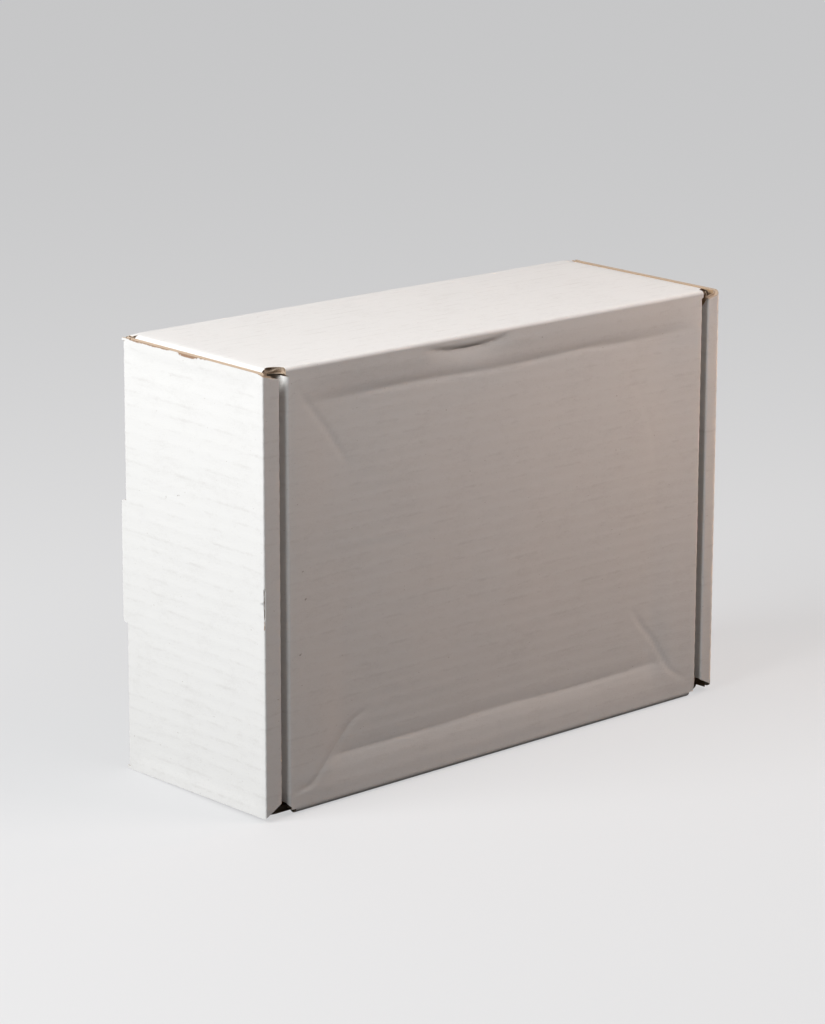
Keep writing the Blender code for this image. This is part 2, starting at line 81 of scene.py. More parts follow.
# The liners bulge a little over each flute, more in some patches than in others
FLUTE = 6.5 * MM
RIPPLE, RIPPLE_ROOM = 0.018 * MM, 1.35
RIPPLE_VARIES, RIPPLE_PATCH = 0.35, 90 * MM
BUCKLE = 0.07 * MM

# A cut edge: the liners and the fluted paper that swings between them, as shares of the board, and
# how deep the hollows beside that paper go
LINER_SHARE, LINER_STEP = 0.09, 0.012
FLUTE_PAPER_HALF, FLUTE_SWING = 0.045, 0.34
EDGE_HOLLOW, EDGE_DRAW_BACK = 1.3 * MM, 0.15 * MM
MITRE_LIMIT = 0.7

# How far a crease is felt in the panel beside it, and how a pressed line fades
CREASE_REACH, CREASE_END = 8.0 * MM, 2.0 * MM
PRESSED_FADE, PRESSED_END, PRESSED_FLANK = 8.0 * MM, 0.3, 1.4

# The net of small faces. Places closer than WELD are one, and a turn over SHARP_TURN is an edge
NET_ACROSS, NET_ALONG, NET_SLIVER = FLUTE / 6, 6.0 * MM, 0.001
FOLD_STEPS, CORNER_STEPS, NOTCH_STEPS = 6, 6, 12
WELD = 0.001 * MM
SHARP_TURN = radians(38)
OUTSIDE, INSIDE, CUT = 0, 1, 2


def unit(vector):
    return np.array(vector) / np.linalg.norm(vector)


def smooth(share):
    """An even ramp from 0 to 1 that starts and stops softly."""
    share = np.clip(share, 0, 1)
    return share ** 2 * (3 - 2 * share)


def hump(away, width):
    """1 where away is 0, falling off smoothly on both sides."""
    return np.exp(-(away / width) ** 2)


def inner_arc(radius):
    """The brown skin's radius in a fold; a fold the other way has a radius under 0."""
    return INSIDE_RADIUS if radius > 0 else radius - BOARD


def crease_shift(radius, angle):
    """How far the inside skin's crease line lies from the outside skin's, away from the panel."""
    return (radius - BOARD - inner_arc(radius)) * tan(angle / 2)


def outline(*corners):
    """Points of a flat outline from (u, v) corners, or (u, v, radius) for a rounded one."""
    points = []
    for i, corner in enumerate(corners):
        here = Vector(corner[:2])
        if len(corner) == 2:
            points.append(here)
            continue
        before = (Vector(corners[i - 1][:2]) - here).normalized()
        after = (Vector(corners[(i + 1) % len(corners)][:2]) - here).normalized()
        half = before.angle(after) / 2
        centre = here + (before + after).normalized() * corner[2] / sin(half)
        first = here + before * corner[2] / tan(half) - centre
        sweep = first.angle_signed(here + after * corner[2] / tan(half) - centre)
        for step in range(CORNER_STEPS + 1):
            points.append(centre + Matrix.Rotation(-sweep * step / CORNER_STEPS, 2) @ first)
    return points


def waver(x, y, scale, seed=0.0):
    """Smooth unevenness from -1 to 1 over arrays of places, about scale long.

    It is three waves, and their factors only have to be unlike, so that they don't repeat.
    """
    a, b = np.asarray(x) / scale * 2 * pi, np.asarray(y) / scale * 2 * pi
    return (np.sin(a + 1.3 * seed + 0.9 * np.sin(0.71 * b + seed)) * 0.5
            + np.sin(0.63 * b - 0.41 * a + 2.1 * seed) * 0.3
            + np.sin(1.37 * a + 1.71 * b + seed) * 0.2)


def ripple(sheet):
    """How far the liners bulge over the flutes at places on the unfolded sheet."""
    strength = 1 + RIPPLE_VARIES * waver(sheet[:, 0], sheet[:, 1], RIPPLE_PATCH, seed=2.0)
    return RIPPLE * strength * np.cos(2 * pi * sheet[:, 1] / FLUTE)


def distance_to(flat, start, end):
    """Distance of flat places from a straight run between two points."""
    start, end = np.array(start), np.array(end)
    length = np.linalg.norm(end - start)
    along = (end - start) / length
    foot = np.clip((flat - start) @ along, 0, length)
    return np.linalg.norm(flat - start - foot[:, None] * along, axis=1)


def pressed(flat, path, width):
    """A pressed line along points in millimetres: 1 at its middle, fading at both ends."""
    path = np.array(path) * MM
    near = np.min([distance_to(flat, a, b) for a, b in zip(path, path[1:])], axis=0)
    ends = np.minimum(*[np.linalg.norm(flat - path[k], axis=1) for k in (0, -1)])
    return np.exp(-(near / width) ** PRESSED_FLANK) * np.clip(ends / PRESSED_FADE, PRESSED_END, 1)


def spots(flat, places):
    """Round marks at (u, v, radius) in millimetres: 1 in the middle of each."""
    return np.max([hump(np.hypot(flat[:, 0] - u * MM, flat[:, 1] - v * MM), size * MM)
                   for u, v, size in places], axis=0)


def cut_net(points, lines):
    """A flat outline cut into small faces along lines (axis, value).

    Returns the places, the faces and the edges of the rim.
    """
    mesh = bmesh.new()
    mesh.faces.new([mesh.verts.new((*point, 0)) for point in points])
    by_axis = sorted([[line for line in lines if line[0] == axis] for axis in (0, 1)], key=len)
    for axis, value in by_axis[1] + by_axis[0]:
        geometry = mesh.verts[:] + mesh.edges[:] + mesh.faces[:]
        side = Vector((1 - axis, axis, 0))
        bmesh.ops.bisect_plane(mesh, geom=geometry, dist=WELD / 10, plane_co=side * value,
                               plane_no=side)
    mesh.verts.index_update()
    flat = np.array([vert.co[:2] for vert in mesh.verts])
    faces = [[vert.index for vert in face.verts] for face in mesh.faces]
    rim = [(edge.link_loops[0].vert.index, edge.link_loops[0].link_loop_next.vert.index)
           for edge in mesh.edges if len(edge.link_loops) == 1]
    mesh.free()
    return flat, faces, rim


class Place:
    """Where a flat part of the board lies in space, and where it was cut on the unfolded sheet."""

    def __init__(self, space, sheet):
        self.space, self.sheet = np.array(space, float), np.array(sheet, float)

    def at(self, flat, w):
        return np.column_stack([flat, w]) @ self.space[:3, :3].T + self.space[:3, 3]

    def turned(self, flat):
        return np.column_stack([flat, np.zeros(len(flat))]) @ self.space[:3, :3].T

    def on_sheet(self, flat):
        return flat @ self.sheet[:, :2].T + self.sheet[:, 2]

    def lines(self, points, axis, along_flutes):
        """Cuts across one axis, at whole steps of the unfolded sheet."""
        way = int(np.argmax(np.abs(self.sheet[:, axis])))
        step = NET_ACROSS if way == 1 else along_flutes
        scale, shift = self.sheet[way, axis], self.sheet[way, 2]
        ends = sorted((p[axis] * scale + shift) / step for p in points)
        whole = range(ceil(ends[0] + NET_SLIVER), floor(ends[-1] - NET_SLIVER) + 1)
        return [(axis, (k * step - shift) / scale) for k in whole]


class Board:
    """Board being folded up, kept as arrays until it is welded. side -1 mirrors what is added.

    settle(points) moves finished places to where the used box has sagged or leant, and washboard
    says how strongly the flutes show.
    """

    def __init__(self, settle, washboard=1.0):
        self.points, self.marks, self.faces, self.skins = [], [], [], []
        self.count = 0
        self.side = 1
        self.settle = settle
        self.washboard = washboard

    def add(self, points, sheet, share, wear_and_shade, faces, skin):
        self.points.append(self.settle(points * (self.side, 1, 1)))
        self.marks.append(np.column_stack([sheet[:, 0] * self.side, sheet[:, 1], share, wear_and_shade]))
        self.faces += [[i + self.count for i in face[::self.side]] for face in faces]
        self.skins += [skin] * len(faces)
        self.count += len(points)

    def skin_pair(self, net, sheet, outer, inner, wear_and_shade, joined, capped, inward, turned):
        """Both skins of one part, and the cut edges between them.

        joined are the runs that go on into a fold, capped those that end flat. inward gives the
        way in from the edge where the part has one of its own, turned takes a flat way into space.
        """
        flat, faces, rim = net
        none = np.zeros(len(flat))
        self.add(outer, sheet, none, wear_and_shade, faces, OUTSIDE)
        self.add(inner, sheet, none + 1, wear_and_shade * 0, [face[::-1] for face in faces], INSIDE)
        middles = np.array([(flat[i] + flat[j]) / 2 for i, j in rim])
        on_fold, on_cap = [
            np.any([distance_to(middles, *run) < WELD for run in runs], axis=0) if runs
            else np.zeros(len(rim), bool) for runs in (joined, capped)]
        ways, fixed, open_edge = {}, {}, set()
        for (i, j), joins, ends_flat in zip(rim, on_fold, on_cap):
            along = unit(flat[j] - flat[i])
            if joins or ends_flat:
                fixed[i], fixed[j] = fixed.get(i, along), fixed.get(j, -along)
            if not joins:
                for k in (i, j):
                    ways.setdefault(k, []).append(np.array((-along[1], along[0])))
                    if not ends_flat:
                        open_edge.add(k)
        if not ways:
            return
        ids = sorted(ways)
        column = {vert: k for k, vert in enumerate(ids)}
        into = []
        for vert in ids:
            way = sum(ways[vert])
            mitre = way / max(MITRE_LIMIT, np.linalg.norm(way) ** 2 / len(ways[vert]))
            into.append(fixed.get(vert, mitre))
        into = turned(np.array(into)) if inward is None else inward(flat[ids])
        into = into * np.array([vert in open_edge for vert in ids])[:, None]
        wave = 0.5 + FLUTE_SWING * np.cos(2 * pi * sheet[ids, 1] / FLUTE)
        through = [
            (0, 0), (LINER_SHARE, 0), (LINER_SHARE + LINER_STEP, EDGE_HOLLOW),
            (wave - FLUTE_PAPER_HALF, EDGE_DRAW_BACK), (wave + FLUTE_PAPER_HALF, EDGE_DRAW_BACK),
            (1 - LINER_SHARE - LINER_STEP, EDGE_HOLLOW), (1 - LINER_SHARE, 0), (1, 0)]
        size = len(ids)
        rows, row_shares = [], []
        for share, depth in through:
            share = np.broadcast_to(share, size).astype(float)
            rows.append(outer[ids] + (inner[ids] - outer[ids]) * share[:, None] + into * depth)
            row_shares.append(share)
        cut_faces = []
        for (i, j), joins in zip(rim, on_fold):
            if joins:
                continue
            a, b = column[i], column[j]
            for row in range(len(rows) - 1):
                k = row * size
                cut_faces.append([k + a, k + size + a, k + size + b, k + b])
        count = len(rows)
        self.add(np.concatenate(rows), np.tile(sheet[ids], (count, 1)),
                 np.concatenate(row_shares), np.tile(wear_and_shade[ids], (count, 1)), cut_faces, CUT)

    def panel(self, place, points, folds, along_flutes=NET_ALONG, lift=None, wear_and_shade=None,
              capped=(), reach=CREASE_REACH):
        """A flat panel. folds lists (start, end, radius, angle) of edges that go on into a fold.

        lift(flat) raises both skins. The function for the marks says where the liner is torn away
        and where it is soiled, and where the brown of bare board is painted as shade.
        """
        lines = place.lines(points, 0, along_flutes) + place.lines(points, 1, along_flutes)
        net = cut_net(points, lines)
        flat = net[0]
        sheet = place.on_sheet(flat)
        raised = lift(flat) if lift else np.zeros(len(flat))
        wave = self.washboard * ripple(sheet)
        shifted = flat.copy()
        for fold in folds:
            start, end, radius, angle = fold
            along = unit(np.array(end) - np.array(start))
            out = np.array((along[1], -along[0]))
            s, away = (flat - start) @ along, -(flat - start) @ out
            length = np.linalg.norm(np.array(end) - np.array(start))
            weight = np.clip(1 - away / reach, 0, 1) * (s > -WELD) * (s < length + WELD)
            for other in folds:
                if other is not fold:
                    weight = weight * np.clip(distance_to(flat, *other[:2]) / CREASE_END, 0, 1)
            shifted += out * (weight * crease_shift(radius, angle))[:, None]
        outer = place.at(flat, raised + wave - self.washboard * RIPPLE * RIPPLE_ROOM)
        inner = place.at(shifted, raised - BOARD + wave)
        worn = wear_and_shade(flat) if wear_and_shade else np.zeros((len(flat), 2))
        self.skin_pair(net, sheet, outer, inner, worn, [fold[:2] for fold in folds], capped,
                       None, place.turned)

    def roll(self, place, start, end, radius, angle, insets=(0.0, 0.0), along_flutes=NET_ALONG,
             lift=None, wear_and_shade=None, capped=False):
        """The rolled board beyond one creased edge; insets shorten its far end.

        Returns the next place, where u runs back along the crease, v leads away from it and w is
        the outside.
        """
        start, end = np.array(start), np.array(end)
        along = unit(end - start)
        out = np.array((along[1], -along[0]))
        length = radius * angle
        far_start = start + out * length + along * insets[0]
        far_end = end + out * length - along * insets[1]
        points = [end, start, far_start, far_end]
        axis = int(np.argmax(np.abs(along)))
        way = 1 - axis
        lines = place.lines(points, axis, along_flutes)
        lines += [(way, start[way] + out[way] * length * step / FOLD_STEPS)
                  for step in range(1, FOLD_STEPS)]
        net = cut_net(points, lines)
        flat = net[0]
        sheet = place.on_sheet(flat)
        run, q = (flat - start) @ along, (flat - start) @ out
        turn = angle * q / length
        foot = start + run[:, None] * along
        wave = self.washboard * ripple(sheet)
        raised = lift(sheet, q / length) if lift else 0.0
        if abs(place.sheet[1, :2] @ along) > 0.5:
            # A fold across the flutes pinches in between them
            hollow = (1 - np.cos(2 * pi * sheet[:, 1] / FLUTE)) / 2
            raised = raised - BUCKLE * hollow * np.sin(pi * np.clip(q / length, 0, 1))

        def skin(arc, centre_out, centre_down):
            spot = foot + out * (centre_out + np.sin(turn) * arc)[:, None]
            return place.at(spot, -centre_down + np.cos(turn) * arc)

        arc = inner_arc(radius)
        room = self.washboard * RIPPLE * RIPPLE_ROOM
        outer = skin(radius + wave - room + raised, 0.0, radius)
        inner = skin(arc + wave, crease_shift(radius, angle), BOARD + arc)
        worn = wear_and_shade(sheet, q / length) if wear_and_shade else np.zeros((len(flat), 2))
        middle = (start + end) / 2 @ along
        runs = [(start, end), (far_start, far_end)]

        def inward(spots_at):
            sign = np.where(spots_at @ along < middle, 1.0, -1.0)
            return place.turned(sign[:, None] * along)

        joined, ends_flat = ([], runs) if capped else (runs, [])
        self.skin_pair(net, sheet, outer, inner, worn, joined, ends_flat, inward, place.turned)
        base = start - along * start.dot(along)
        normal = np.array([*(out * sin(angle)), cos(angle)])
        ahead = np.array([*(out * cos(angle)), -sin(angle)])
        frame_next = np.eye(4)
        frame_next[:3, 0] = [*-along, 0]
        frame_next[:3, 1] = ahead
        frame_next[:3, 2] = normal
        frame_next[:3, 3] = np.array([*base, -radius]) + normal * radius
        cut = place.sheet[:, :2] @ np.column_stack([-along, out])
        spot = place.sheet[:, :2] @ (base + out * length) + place.sheet[:, 2]
        return Place(place.space @ frame_next, np.column_stack([cut, spot]))

    def finish(self, name, body):
        """Weld the parts into one closed body that rides on a CAD body."""
        data = bpy.data.meshes.new(name)
        data.from_pydata(np.concatenate(self.points), [], self.faces)
        data.polygons.foreach_set("material_index", self.skins)
        marks = np.concatenate(self.marks).astype(np.float32)
        sheet = data.attributes.new("sheet", "FLOAT_VECTOR", "POINT")
        sheet.data.foreach_set("vector", marks[:, :3].ravel())
        # The first attribute is torn liner together with shade painted in the brown of bare board;
        # the second is soil
        for label, column in (("bare_and_shade", 3), ("soil", 4)):
            worn = data.attributes.new(label, "FLOAT", "POINT")
            worn.data.foreach_set("value", marks[:, column].copy())
        mesh = bmesh.new()
        mesh.from_mesh(data)
        bmesh.ops.remove_doubles(mesh, verts=mesh.verts, dist=WELD)
        mesh.to_mesh(data)
        mesh.free()
        for material in BOARD_PAPERS:
            data.materials.append(material)
        data.shade_smooth()
        data.set_sharp_from_angle(angle=SHARP_TURN)
        made = bpy.data.objects.new(name, data)
        bpy.context.collection.objects.link(made)
        if body:
            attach(made, body)
        return made


# The papers. Fibres, flecks and cloudy mottling come from one group, the dark lines painted
# along the flutes as shade of their washboard from another; each paper sets its own strengths.
def node(tree, kind, values=(), **settings):
    """Add a node. values maps its sockets, by name or number, to a value or to a socket to link."""
    made = tree.nodes.new(kind)
    for key, value in settings.items():
        setattr(made, key, value)
    for key, value in dict(values).items():
        if isinstance(value, bpy.types.NodeSocket):
            tree.links.new(value, made.inputs[key])
        else:
            made.inputs[key].default_value = value
    return made


def calc(tree, operation, *values, clamp=False):
    """The result of a Math node."""
    made = node(tree, "ShaderNodeMath", enumerate(values), operation=operation, use_clamp=clamp)
    return made.outputs[0]


def mixed(tree, share, first, second):
    """Two colours, each a socket or plain values, mixed by a share."""
    made = node(tree, "ShaderNodeMix", data_type="RGBA")
    colours = [socket for socket in made.inputs if socket.type == "RGBA"]
    for socket, value in zip([made.inputs["Factor"], *colours], (share, first, second)):
        if isinstance(value, bpy.types.NodeSocket):
            tree.links.new(value, socket)
        else:
            socket.default_value = (*value, 1)
    return next(socket for socket in made.outputs if socket.type == "RGBA")


def noise(tree, where, scale, detail=3.0, roughness=0.55, stretch=(1, 1, 1)):
    """Noise from 0 to 1, in features per metre, with one scale for each direction of the sheet."""
    spot = node(tree, "ShaderNodeVectorMath", {0: where, 1: stretch}, operation="MULTIPLY")
    made = node(tree, "ShaderNodeTexNoise", {
        "Vector": spot.outputs[0], "Scale": scale, "Detail": detail, "Roughness": roughness})
    return made.outputs["Fac"]


def start_group(name, inputs, outputs):
    """A shader node group with named inputs (name, type, value) and outputs (name, type)."""
    tree = bpy.data.node_groups.new(name, "ShaderNodeTree")
    for label, kind, value in inputs:
        socket = tree.interface.new_socket(label, in_out="INPUT", socket_type=kind)
        if value is not None:
            socket.default_value = value
    for label, kind in outputs:
        tree.interface.new_socket(label, in_out="OUTPUT", socket_type=kind)
    made = tree.nodes.new("NodeGroupInput").outputs, tree.nodes.new("NodeGroupOutput").inputs
    return tree, *made


def above(tree, value, start, gain):
    """How far a value lies above a start, times a gain, held between 0 and 1."""
    return calc(tree, "MULTIPLY", calc(tree, "SUBTRACT", value, start), gain, clamp=True)


FLOAT, VECTOR = "NodeSocketFloat", "NodeSocketVector"
FLECK_START, FLECK_GAIN, PATCH_HEIGHT = 0.75, 16.0, 1.4

fibres, given, result = start_group(
    "paper_fibres",
    [("Sheet", VECTOR, None), *[(label, FLOAT, 0.5) for label in ("Mottle", "Fibres", "Flecks")]],
    [("Tone", FLOAT), ("Fleck", FLOAT), ("Height", FLOAT)])
cloud = noise(fibres, given["Sheet"], 55, detail=4.0, roughness=0.6)
patch = noise(fibres, given["Sheet"], 420, roughness=0.6, stretch=(0.45, 1, 1))
fibre = noise(fibres, given["Sheet"], 2600, 2.0, 0.5, stretch=(0.22, 1, 1))
cross_fibre = noise(fibres, given["Sheet"], 1900, 2.0, 0.5, stretch=(1, 0.3, 1))
clouds = calc(fibres, "SUBTRACT", calc(fibres, "ADD", cloud, patch), 1.0)
threads = calc(fibres, "SUBTRACT", calc(fibres, "ADD", fibre, cross_fibre), 1.0)
tone = calc(fibres, "ADD", calc(fibres, "MULTIPLY", clouds, given["Mottle"]),
            calc(fibres, "MULTIPLY", threads, given["Fibres"]))
fleck_field = noise(fibres, given["Sheet"], 900, 1.0, 0.5, stretch=(0.6, 1, 1))
fleck = above(fibres, fleck_field, FLECK_START, FLECK_GAIN)
height = calc(fibres, "ADD", fibre, calc(fibres, "MULTIPLY", patch, PATCH_HEIGHT))
fibres.links.new(tone, result["Tone"])
fibres.links.new(calc(fibres, "MULTIPLY", fleck, given["Flecks"]), result["Fleck"])
fibres.links.new(height, result["Height"])

LINE_START, LINE_GAIN, LINE_SHAKE, BREAK_GAIN = 0.62, 2.6, 0.16, 6.0

# Painted shade: broken dark lines along the flute crests, standing in for the shading of the
# washboard
flutes, given, result = start_group(
    "flute_painted_shade",
    [("Sheet", VECTOR, None), ("Pitch", FLOAT, FLUTE), ("Broken", FLOAT, 0.5)],
    [("Line", FLOAT)])
across = node(flutes, "ShaderNodeSeparateXYZ", {0: given["Sheet"]}).outputs["Y"]
shaky = noise(flutes, given["Sheet"], 160, 2.0, 0.5, stretch=(0.25, 1, 1))
turns = calc(flutes, "ADD", calc(flutes, "DIVIDE", across, given["Pitch"]),
             calc(flutes, "MULTIPLY", shaky, LINE_SHAKE))
crest = calc(flutes, "COSINE", calc(flutes, "MULTIPLY", turns, 2 * pi))
breaks = noise(flutes, given["Sheet"], 150, roughness=0.7, stretch=(0.42, 1, 1))
line = calc(flutes, "MULTIPLY", above(flutes, crest, LINE_START, LINE_GAIN),
            above(flutes, breaks, given["Broken"], BREAK_GAIN))
flutes.links.new(line, result["Line"])

# Where the liner is torn off or soiled, and where the brown of bare board is painted as shade, the
# mark ends in a ragged line
RAGGED, RAGGED_GAIN, SOIL_START, BARE_AND_SHADE_START = 0.9, 6.0, 0.45, 0.35
PAPER_SPECULAR, ROUGH_VARIES = 0.16, 0.25


def paper(name, colour, dark, fleck_colour, mottle, threads, flecks, lines, broken, rough,
          grain, bare_and_shade=None):
    """One paper of the board: its colour, how uneven it is, how its flutes show, and its grain.

    The last argument is the colour under the liner, where the paper can be torn or soiled; it is
    also painted along the near end's upper edge as shade.
    """
    material = bpy.data.materials.new(name)
    material.use_nodes = True
    tree = material.node_tree
    shader = tree.nodes["Principled BSDF"]
    sheet = node(tree, "ShaderNodeAttribute", attribute_name="sheet").outputs["Vector"]
    fibre_node = node(tree, "ShaderNodeGroup", node_tree=fibres)
    line_node = node(tree, "ShaderNodeGroup", node_tree=flutes)
    for target, key, value in ((fibre_node, "Mottle", mottle), (fibre_node, "Fibres", threads),
                               (fibre_node, "Flecks", flecks), (line_node, "Broken", broken)):
        target.inputs[key].default_value = value
    for target in (fibre_node, line_node):
        tree.links.new(sheet, target.inputs["Sheet"])
    tone = fibre_node.outputs["Tone"]
    # Painted shade from the flute lines, and tone that varies at random, mix the colour towards
    # dark
    shade = calc(tree, "SUBTRACT", calc(tree, "MULTIPLY", line_node.outputs["Line"], lines), tone,
                 clamp=True)
    base = mixed(tree, fibre_node.outputs["Fleck"], mixed(tree, shade, colour, dark), fleck_colour)
    if bare_and_shade:
        torn = noise(tree, sheet, 1500, 2.0, 0.5, stretch=(1, 0.4, 1))
        ragged = calc(tree, "MULTIPLY", calc(tree, "SUBTRACT", torn, 0.5), RAGGED)
        # Soil mixes in the dark colour; the other attribute mixes in the brown of bare board, where
        # the liner is torn and, along the near end's upper edge, as painted shade
        for label, start, under in (("soil", SOIL_START, dark), ("bare_and_shade", BARE_AND_SHADE_START, bare_and_shade)):
            amount = node(tree, "ShaderNodeAttribute", attribute_name=label).outputs["Fac"]
            amount = calc(tree, "ADD", amount, ragged)
            base = mixed(tree, above(tree, amount, start, RAGGED_GAIN), base, under)
    tree.links.new(base, shader.inputs["Base Color"])
    rough = calc(tree, "ADD", calc(tree, "MULTIPLY", tone, ROUGH_VARIES), rough)
    tree.links.new(rough, shader.inputs["Roughness"])
    shader.inputs["Specular IOR Level"].default_value = PAPER_SPECULAR
    bump = node(tree, "ShaderNodeBump", {
        "Strength": 1.0, "Distance": grain, "Height": fibre_node.outputs["Height"]})
    tree.links.new(bump.outputs["Normal"], shader.inputs["Normal"])
    return material


BOARD_PAPERS = [
    paper("white_liner", (0.80, 0.79, 0.77), (0.50, 0.47, 0.44), (0.36, 0.31, 0.26), mottle=0.32,
          threads=0.24, flecks=0.5, lines=0.16, broken=0.46, rough=0.84, grain=0.03 * MM,
          bare_and_shade=(0.36, 0.23, 0.15)),
    paper("brown_liner", (0.45, 0.31, 0.19), (0.27, 0.17, 0.095), (0.20, 0.12, 0.07), mottle=0.5,
          threads=0.45, flecks=0.8, lines=0.35, broken=0.35, rough=0.78, grain=0.04 * MM),
    paper("cut_edge", (0.52, 0.41, 0.31), (0.29, 0.21, 0.15), (0.66, 0.58, 0.50), mottle=0.7,
          threads=0.9, flecks=0.9, lines=0.0, broken=0.5, rough=0.85, grain=0.06 * MM)]

# How the used box stands: its ends lean in, its top falls towards the lid, and the top panel's ends
# round over. Each end panel's foot is askew, and its upper corner by the rim is worn down.
LEAN_LEFT, LEAN_RIGHT, LEAN_BACK, TOP_FALL = 0.1 * MM, 1.4 * MM, 1.4 * MM, 1.0 * MM
RIGHT_END_FALL, RIGHT_END_REACH = 2.3 * MM, 7.5 * MM
LEFT_END_FALL, LEFT_END_REACH = 0.8 * MM, 5.0 * MM
END_FALL_TO = DUST_PLANE + 0.2 * MM
FALL_DEPTH, FALL_RAMP = 30 * MM, 26 * MM
FOOT_FAR_DROP, FOOT_NEAR_RISE, FOOT_REACH = 0.8 * MM, 0.85 * MM, 60 * MM
WORN_CORNER, WORN_REACH, WORN_HEIGHT = 1.1 * MM, 4.5 * MM, 19 * MM


def forward_share(y):
    return (BASE_FACE - y) / DEPTH


def lean(points):
    x, y, z = points.T
    high, across, forward = z / HEIGHT, x / LENGTH + 0.5, forward_share(y)
    return points + np.column_stack([
        high * (LEAN_LEFT - (LEAN_LEFT + LEAN_RIGHT) * across),
        -LEAN_BACK * high * np.clip(1 - across, 0, 1) ** 2 * np.clip(1 - forward, 0, 1),
        -TOP_FALL * high * forward])


def settle_panels(points):
    x, y, z = points.T
    right = np.clip((x - END_FALL_TO) / RIGHT_END_REACH + 1, 0, 1)
    left = np.clip((-x - END_FALL_TO) / LEFT_END_REACH + 1, 0, 1)
    fall = (RIGHT_END_FALL * right ** 2 + LEFT_END_FALL * left ** 2) * (abs(x) < END_FALL_TO)
    on_top = smooth((BASE_FACE - y) / BASE_FOLD) * smooth((z - HEIGHT + FALL_DEPTH) / FALL_RAMP)
    return lean(points - np.column_stack([x * 0, x * 0, fall * on_top]))


def settle_end_wall(points):
    x, y, z = points.T
    forward = forward_share(y)
    skew = FOOT_NEAR_RISE * forward - FOOT_FAR_DROP * (1 - forward)
    skew = skew * np.clip(1 - z / FOOT_REACH, 0, 1) ** 2
    worn = np.clip(1 - (y - LID_FACE) / WORN_REACH, 0, 1) ** 1.5
    worn = WORN_CORNER * worn * np.clip((z - HEIGHT) / WORN_HEIGHT + 1, 0, 1) ** 2
    return lean(points + np.column_stack([x * 0, x * 0, skew - worn]))


# The slit worn through the white liner half-way up the near left fold, forked at its top and frayed
# at its foot. Its widths across are shares of the fold.
TEAR_LOW, TEAR_HIGH, TEAR_TAPER, FRAYED_FOOT = 91.0 * MM, 105.0 * MM, 2.0 * MM, 3.0 * MM
FORK_HIGH, FORK_TAPER, FORK_OVERLAP = 108.0 * MM, 1.5 * MM, 3.0 * MM
FORK_SPREAD, FORK_WIDENS, PRONG_WIDTH, PRONG_SHARE = 0.09, 0.08, 0.12, 0.8
SLIT_WIDTH, SLIT_DEPTH = 0.15, 1.5 * MM
LIPS_AWAY, LIPS_WIDTH, LIPS_LIFT = 0.3, 0.12, 0.006 * MM
FRAY_WIDTH, FRAY_REACH = 0.35, 5.0 * MM
SLIT_BARE, LIPS_BARE, FRAY_BARE, FRAY_SOIL = 1.3, 0.25, 0.65, 0.3


def near_fold_tear(sheet, across):
    """How deep the slit is, and how far its lips curl, over the fold."""
    z = sheet[:, 1] + HEIGHT / 2
    middle = 0.5 + 0.12 * np.sin(z / (2.1 * MM)) + 0.05 * np.sin(z / (0.9 * MM))
    run = np.clip(np.minimum(z - TEAR_LOW - FRAYED_FOOT, TEAR_HIGH - z) / TEAR_TAPER, 0, 1)
    fork = np.clip(np.minimum(z - TEAR_HIGH + FORK_OVERLAP, FORK_HIGH - z) / FORK_TAPER, 0, 1)
    spread = FORK_SPREAD + FORK_WIDENS * (z - TEAR_HIGH) / MM
    prong = hump(abs(across - middle) - spread, PRONG_WIDTH) * fork
    slit = np.maximum(hump(across - middle, SLIT_WIDTH) * run, PRONG_SHARE * prong)
    lips = hump(abs(across - middle) - LIPS_AWAY, LIPS_WIDTH) * run
    return slit, lips


def tear_lift(sheet, across):
    slit, lips = near_fold_tear(sheet, across)
    return -SLIT_DEPTH * slit + LIPS_LIFT * lips


def tear_wear(sheet, across):
    z = sheet[:, 1] + HEIGHT / 2
    slit, lips = near_fold_tear(sheet, across)
    fray = hump(across - 0.5, FRAY_WIDTH) * np.clip(1 - abs(z - TEAR_LOW) / FRAY_REACH, 0, 1)
    bare_and_shade = np.clip(slit * SLIT_BARE + lips * LIPS_BARE + fray * FRAY_BARE, 0, 1)
    return np.column_stack([bare_and_shade, fray * FRAY_SOIL])


# Pressed lines on the end panels, as points in millimetres with their depth and width. Under the
# near end's upper cut edge, runs (from, to, how brown, how deep) are painted the brown of bare
# board, as shade of the narrow gap below the top panel's edge.
END_BOW, END_BOW_EDGE, END_BOW_TOP = 0.45 * MM, 12 * MM, 97 * MM
LIP_CREASE = [(23, 3), (20, 12), (9, 19), (-4, 21), (-18, 17), (-31, 7)]
LIP_CREASE_DEPTH, LIP_CREASE_WIDTH = 0.13 * MM, 1.6 * MM
FOLD_SCUFF = [(-11, 79), (-4, 85), (4, 88)]
FOLD_SCUFF_DEPTH, FOLD_SCUFF_WIDTH = 0.10 * MM, 1.4 * MM
FLAKE_CREASE = [(100.5, 39), (98.8, 46), (99.4, 54)]
FLAKE_CREASE_DEPTH, FLAKE_CREASE_WIDTH = 0.22 * MM, 0.9 * MM
EDGE_SHADE, EDGE_SHADE_RAMP = [(63, 97, 0.9, 0.5), (44, 60, 1.2, 1.2), (36, 60, 0.6, 0.5)], 4 * MM
END_SPECKS = [(33, 28, 0.8), (29, 33, 0.6), (36, 37, 0.7), (25, 24, 0.5), (-62, 61, 0.6)]


